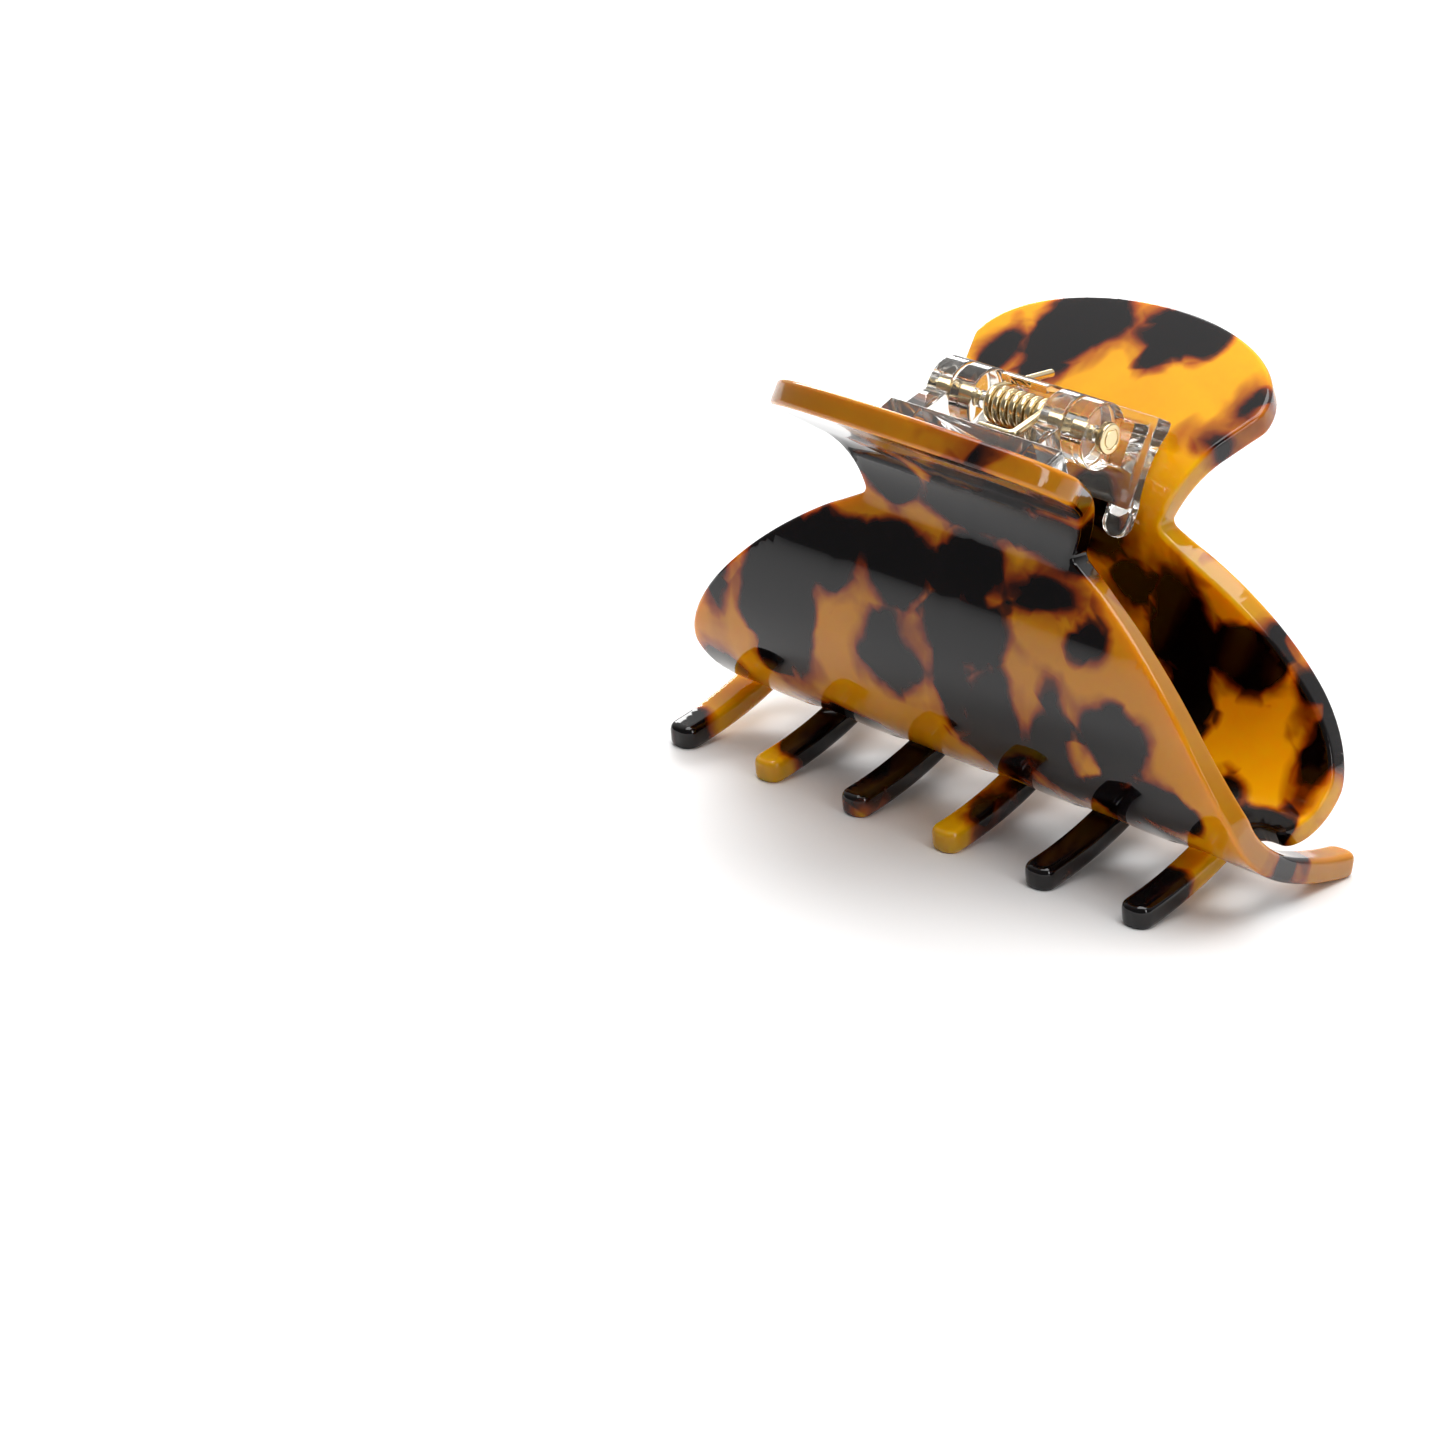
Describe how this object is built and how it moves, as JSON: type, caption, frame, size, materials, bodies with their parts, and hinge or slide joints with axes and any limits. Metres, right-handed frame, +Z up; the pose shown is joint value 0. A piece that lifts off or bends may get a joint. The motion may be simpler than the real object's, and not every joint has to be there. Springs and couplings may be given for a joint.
{
  "type": "claw hair clip",
  "caption": "Claw hair clip of two bent sheet jaws with interlocking curved teeth, joined by a sprung pin hinge in clear brackets and opened by squeezing two thumb tabs.",
  "frame": {"origin": "centre of the bounding box on the floor, under the hinge pin, with the level faces under the tooth tips at Z = 0", "axes": "+X along the hinge pin and the clip's width, -Y towards the front jaw, +Z up towards the thumb tabs"},
  "size_m": [0.088, 0.0598, 0.0597],
  "materials": {
    "acetate": "polished tortoiseshell, amber with near-black patches",
    "clear_plastic": "clear moulded plastic, slightly warm",
    "brass": "pale polished brass"
  },
  "bodies": {
    "front": {"front_jaw": "acetate", "front_hinge_bracket": "clear_plastic", "torsion_spring": "brass"},
    "rear": {"rear_jaw": "acetate", "rear_hinge_bracket": "clear_plastic", "hinge_pin": "brass"}
  },
  "joints": [
    {"name": "jaw_hinge", "type": "hinge", "parent": "front", "child": "rear", "pos_m": [0, 0, 0.05241], "axis": [1, 0, 0], "range_deg": [0, 60], "stiffness_Nm_per_rad": 0.09, "springref_deg": -28.65, "deforming": ["torsion_spring"]}
  ]
}
